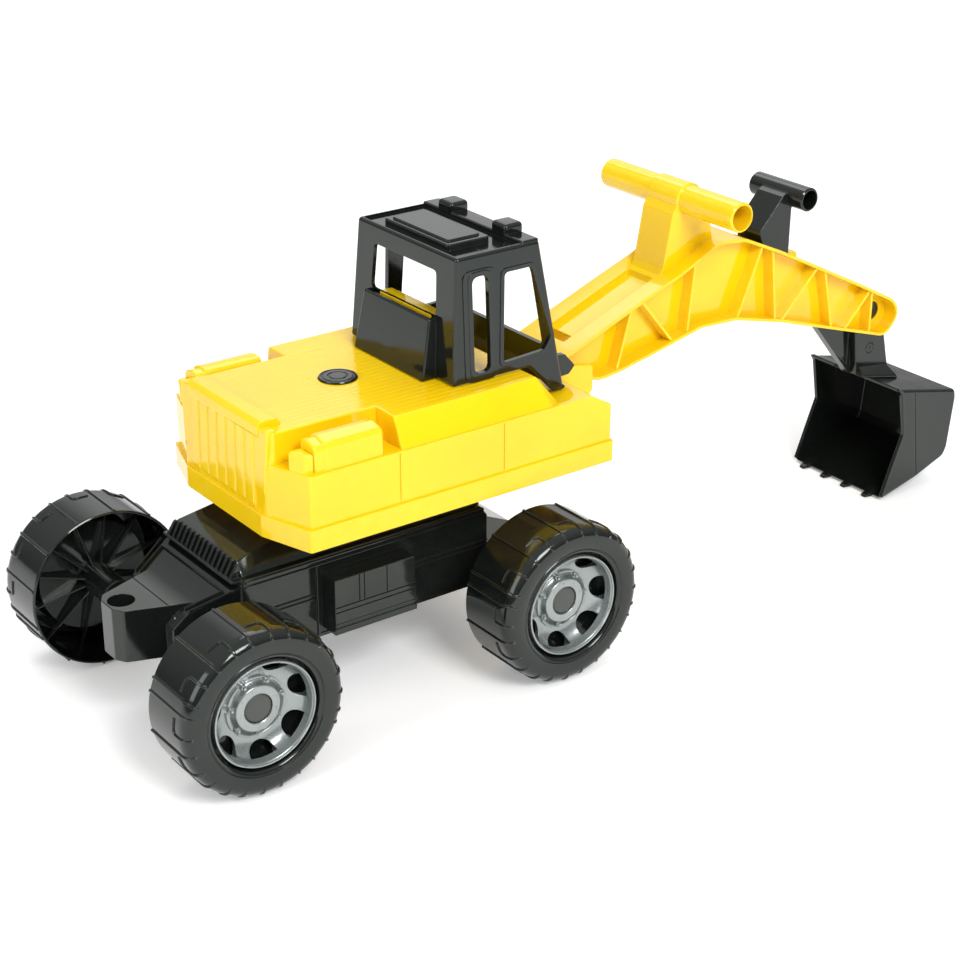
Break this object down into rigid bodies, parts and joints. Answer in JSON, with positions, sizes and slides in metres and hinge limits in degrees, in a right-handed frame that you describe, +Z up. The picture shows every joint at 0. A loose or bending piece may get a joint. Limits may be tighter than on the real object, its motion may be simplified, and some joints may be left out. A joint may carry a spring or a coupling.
{
  "type": "toy wheeled excavator",
  "caption": "Plastic toy wheeled excavator: a black chassis on chunky wheels carries a slewing yellow body with a cab, a boom with a grip handle and a hand-levered bucket.",
  "frame": {"origin": "on the ground plane, in the middle of the overall length and width, with the boom straight ahead and the bucket on the ground", "axes": "+X forward to the bucket, +Y to the vehicle's left, +Z up"},
  "size_m": [0.7004, 0.2378, 0.2764],
  "materials": {
    "yellow_plastic": "glossy moulded yellow",
    "black_plastic": "glossy moulded black",
    "silver_plastic": "silver moulded plastic",
    "grey_plastic": "dark grey matt",
    "steel": "plain steel rod"
  },
  "bodies": {
    "chassis": {"chassis_frame": "black_plastic", "front_axle": "steel", "rear_axle": "steel", "slew_pin": "black_plastic", "slew_retainer": "steel", "hub_cap_front_left": "grey_plastic", "hub_cap_front_right": "grey_plastic", "hub_cap_rear_left": "grey_plastic", "hub_cap_rear_right": "grey_plastic"},
    "front_left_wheel": {"wheel_front_left": "black_plastic", "rim_front_left": "silver_plastic"},
    "front_right_wheel": {"wheel_front_right": "black_plastic", "rim_front_right": "silver_plastic"},
    "rear_left_wheel": {"wheel_rear_left": "black_plastic", "rim_rear_left": "silver_plastic"},
    "rear_right_wheel": {"wheel_rear_right": "black_plastic", "rim_rear_right": "silver_plastic"},
    "superstructure": {"superstructure_body": "yellow_plastic", "cab": "black_plastic", "boom_hinge_pin": "steel"},
    "boom_arm": {"boom": "yellow_plastic", "lever_pivot_pin": "black_plastic"},
    "bucket_arm": {"bucket_lever": "black_plastic", "bucket": "black_plastic"}
  },
  "joints": [
    {"name": "slew", "type": "hinge", "parent": "chassis", "child": "superstructure", "pos_m": [-0.17, 0, 0.1252], "axis": [0, 0, 1], "continuous": true},
    {"name": "boom_lift", "type": "hinge", "parent": "superstructure", "child": "boom_arm", "pos_m": [-0.0125, 0, 0.161], "axis": [0, -1, 0], "range_deg": [0, 50]},
    {"name": "bucket_tilt", "type": "hinge", "parent": "boom_arm", "child": "bucket_arm", "pos_m": [0.2819, 0, 0.1408], "axis": [0, 1, 0], "range_deg": [0, 75]},
    {"name": "front_left_spin", "type": "hinge", "parent": "chassis", "child": "front_left_wheel", "pos_m": [-0.0767, 0.097, 0.053], "axis": [0, 1, 0], "continuous": true},
    {"name": "front_right_spin", "type": "hinge", "parent": "chassis", "child": "front_right_wheel", "pos_m": [-0.0767, -0.097, 0.053], "axis": [0, 1, 0], "continuous": true},
    {"name": "rear_left_spin", "type": "hinge", "parent": "chassis", "child": "rear_left_wheel", "pos_m": [-0.2972, 0.097, 0.053], "axis": [0, 1, 0], "continuous": true},
    {"name": "rear_right_spin", "type": "hinge", "parent": "chassis", "child": "rear_right_wheel", "pos_m": [-0.2972, -0.097, 0.053], "axis": [0, 1, 0], "continuous": true}
  ]
}
